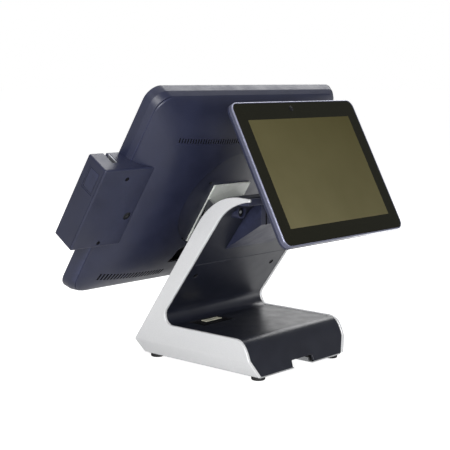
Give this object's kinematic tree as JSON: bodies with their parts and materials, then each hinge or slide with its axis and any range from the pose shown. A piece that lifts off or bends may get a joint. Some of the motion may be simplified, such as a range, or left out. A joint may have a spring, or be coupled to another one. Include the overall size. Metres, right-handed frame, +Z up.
{
  "type": "pos touchscreen terminal",
  "caption": "Checkout terminal: tilting touchscreen with a side card reader, on a leaning silver-sided stand with a tilting customer display behind.",
  "frame": {"origin": "middle of the whole object's footprint, on the surface its feet stand on", "axes": "+X to the operator's right, +Y from the operator's side to the customer's side, +Z up"},
  "size_m": [0.4154, 0.3394, 0.3669],
  "materials": {
    "silver_paint": "satin silver paint",
    "charcoal_plastic": "satin, fine grain",
    "navy_plastic": "matt, fine grain",
    "screen_glass": "gloss black border, clear over the screen",
    "screen_panel": "dark olive, screen off",
    "steel": "zinc-plated",
    "zinc_casting": "dull grey casting",
    "rubber": "matt",
    "cream_plastic": "matt",
    "circuit_board": "green solder mask",
    "black_plastic": "satin black",
    "bright_rim": "satin, bright chamfer"
  },
  "bodies": {
    "stand": {"side_panel_left": "silver_paint", "side_panel_right": "silver_paint", "base_plate": "steel", "foot_front_left": "rubber", "foot_front_right": "rubber", "foot_rear_left": "rubber", "foot_rear_right": "rubber", "base_cover": "charcoal_plastic", "cover_screw_left": "steel", "cover_screw_right": "steel", "port_plate": "cream_plastic", "arm_inner_cover": "charcoal_plastic", "arm_nose": "navy_plastic", "stand_rear_cover": "charcoal_plastic", "stand_frame": "steel", "arm_hinge_bracket": "steel", "bracket_housing": "navy_plastic", "bracket_bolt_left": "steel", "bracket_bolt_right": "steel", "support_arm": "steel"},
    "head": {"rear_cover": "navy_plastic", "front_bezel": "navy_plastic", "reader_housing": "navy_plastic", "reader_back_plate": "navy_plastic", "touch_glass": "screen_glass", "lcd_panel": "screen_panel", "tilt_shaft": "steel", "tilt_nut_left": "steel", "tilt_nut_right": "steel", "panel_chassis": "steel", "connector_panel": "steel", "reader_screw_1": "steel", "reader_screw_2": "steel", "reader_slot_guide": "steel", "head_hinge_bracket": "zinc_casting", "heat_sink": "zinc_casting", "read_head": "zinc_casting", "power_switch": "circuit_board", "mainboard": "circuit_board", "reader_board": "circuit_board", "tilt_friction_washer_left": "black_plastic", "tilt_friction_washer_right": "black_plastic", "storage_drive": "black_plastic", "speaker": "black_plastic", "reader_window": "black_plastic"},
    "power_button": {"power_button": "black_plastic"},
    "display": {"display_mount": "steel", "display_shaft": "steel", "display_washer_left": "black_plastic", "display_washer_right": "black_plastic", "display_nut_left": "steel", "display_nut_right": "steel", "display_housing": "navy_plastic", "display_rim": "bright_rim", "display_glass": "screen_glass", "display_lcd": "screen_panel", "display_board": "circuit_board", "camera_lens": "black_plastic"}
  },
  "joints": [
    {"name": "head_tilt", "type": "hinge", "parent": "stand", "child": "head", "pos_m": [-0.024, -0.03071, 0.17755], "axis": [1, 0, 0], "range_deg": [-8, 20]},
    {"name": "display_tilt", "type": "hinge", "parent": "stand", "child": "display", "pos_m": [-0.024, 0.09649, 0.20648], "axis": [1, 0, 0], "range_deg": [-20, 10]},
    {"name": "power_press", "type": "slide", "parent": "head", "child": "power_button", "axis": [0, 0.8329, -0.5534], "range_m": [0, 0.0012], "stiffness_N_per_m": 300}
  ]
}
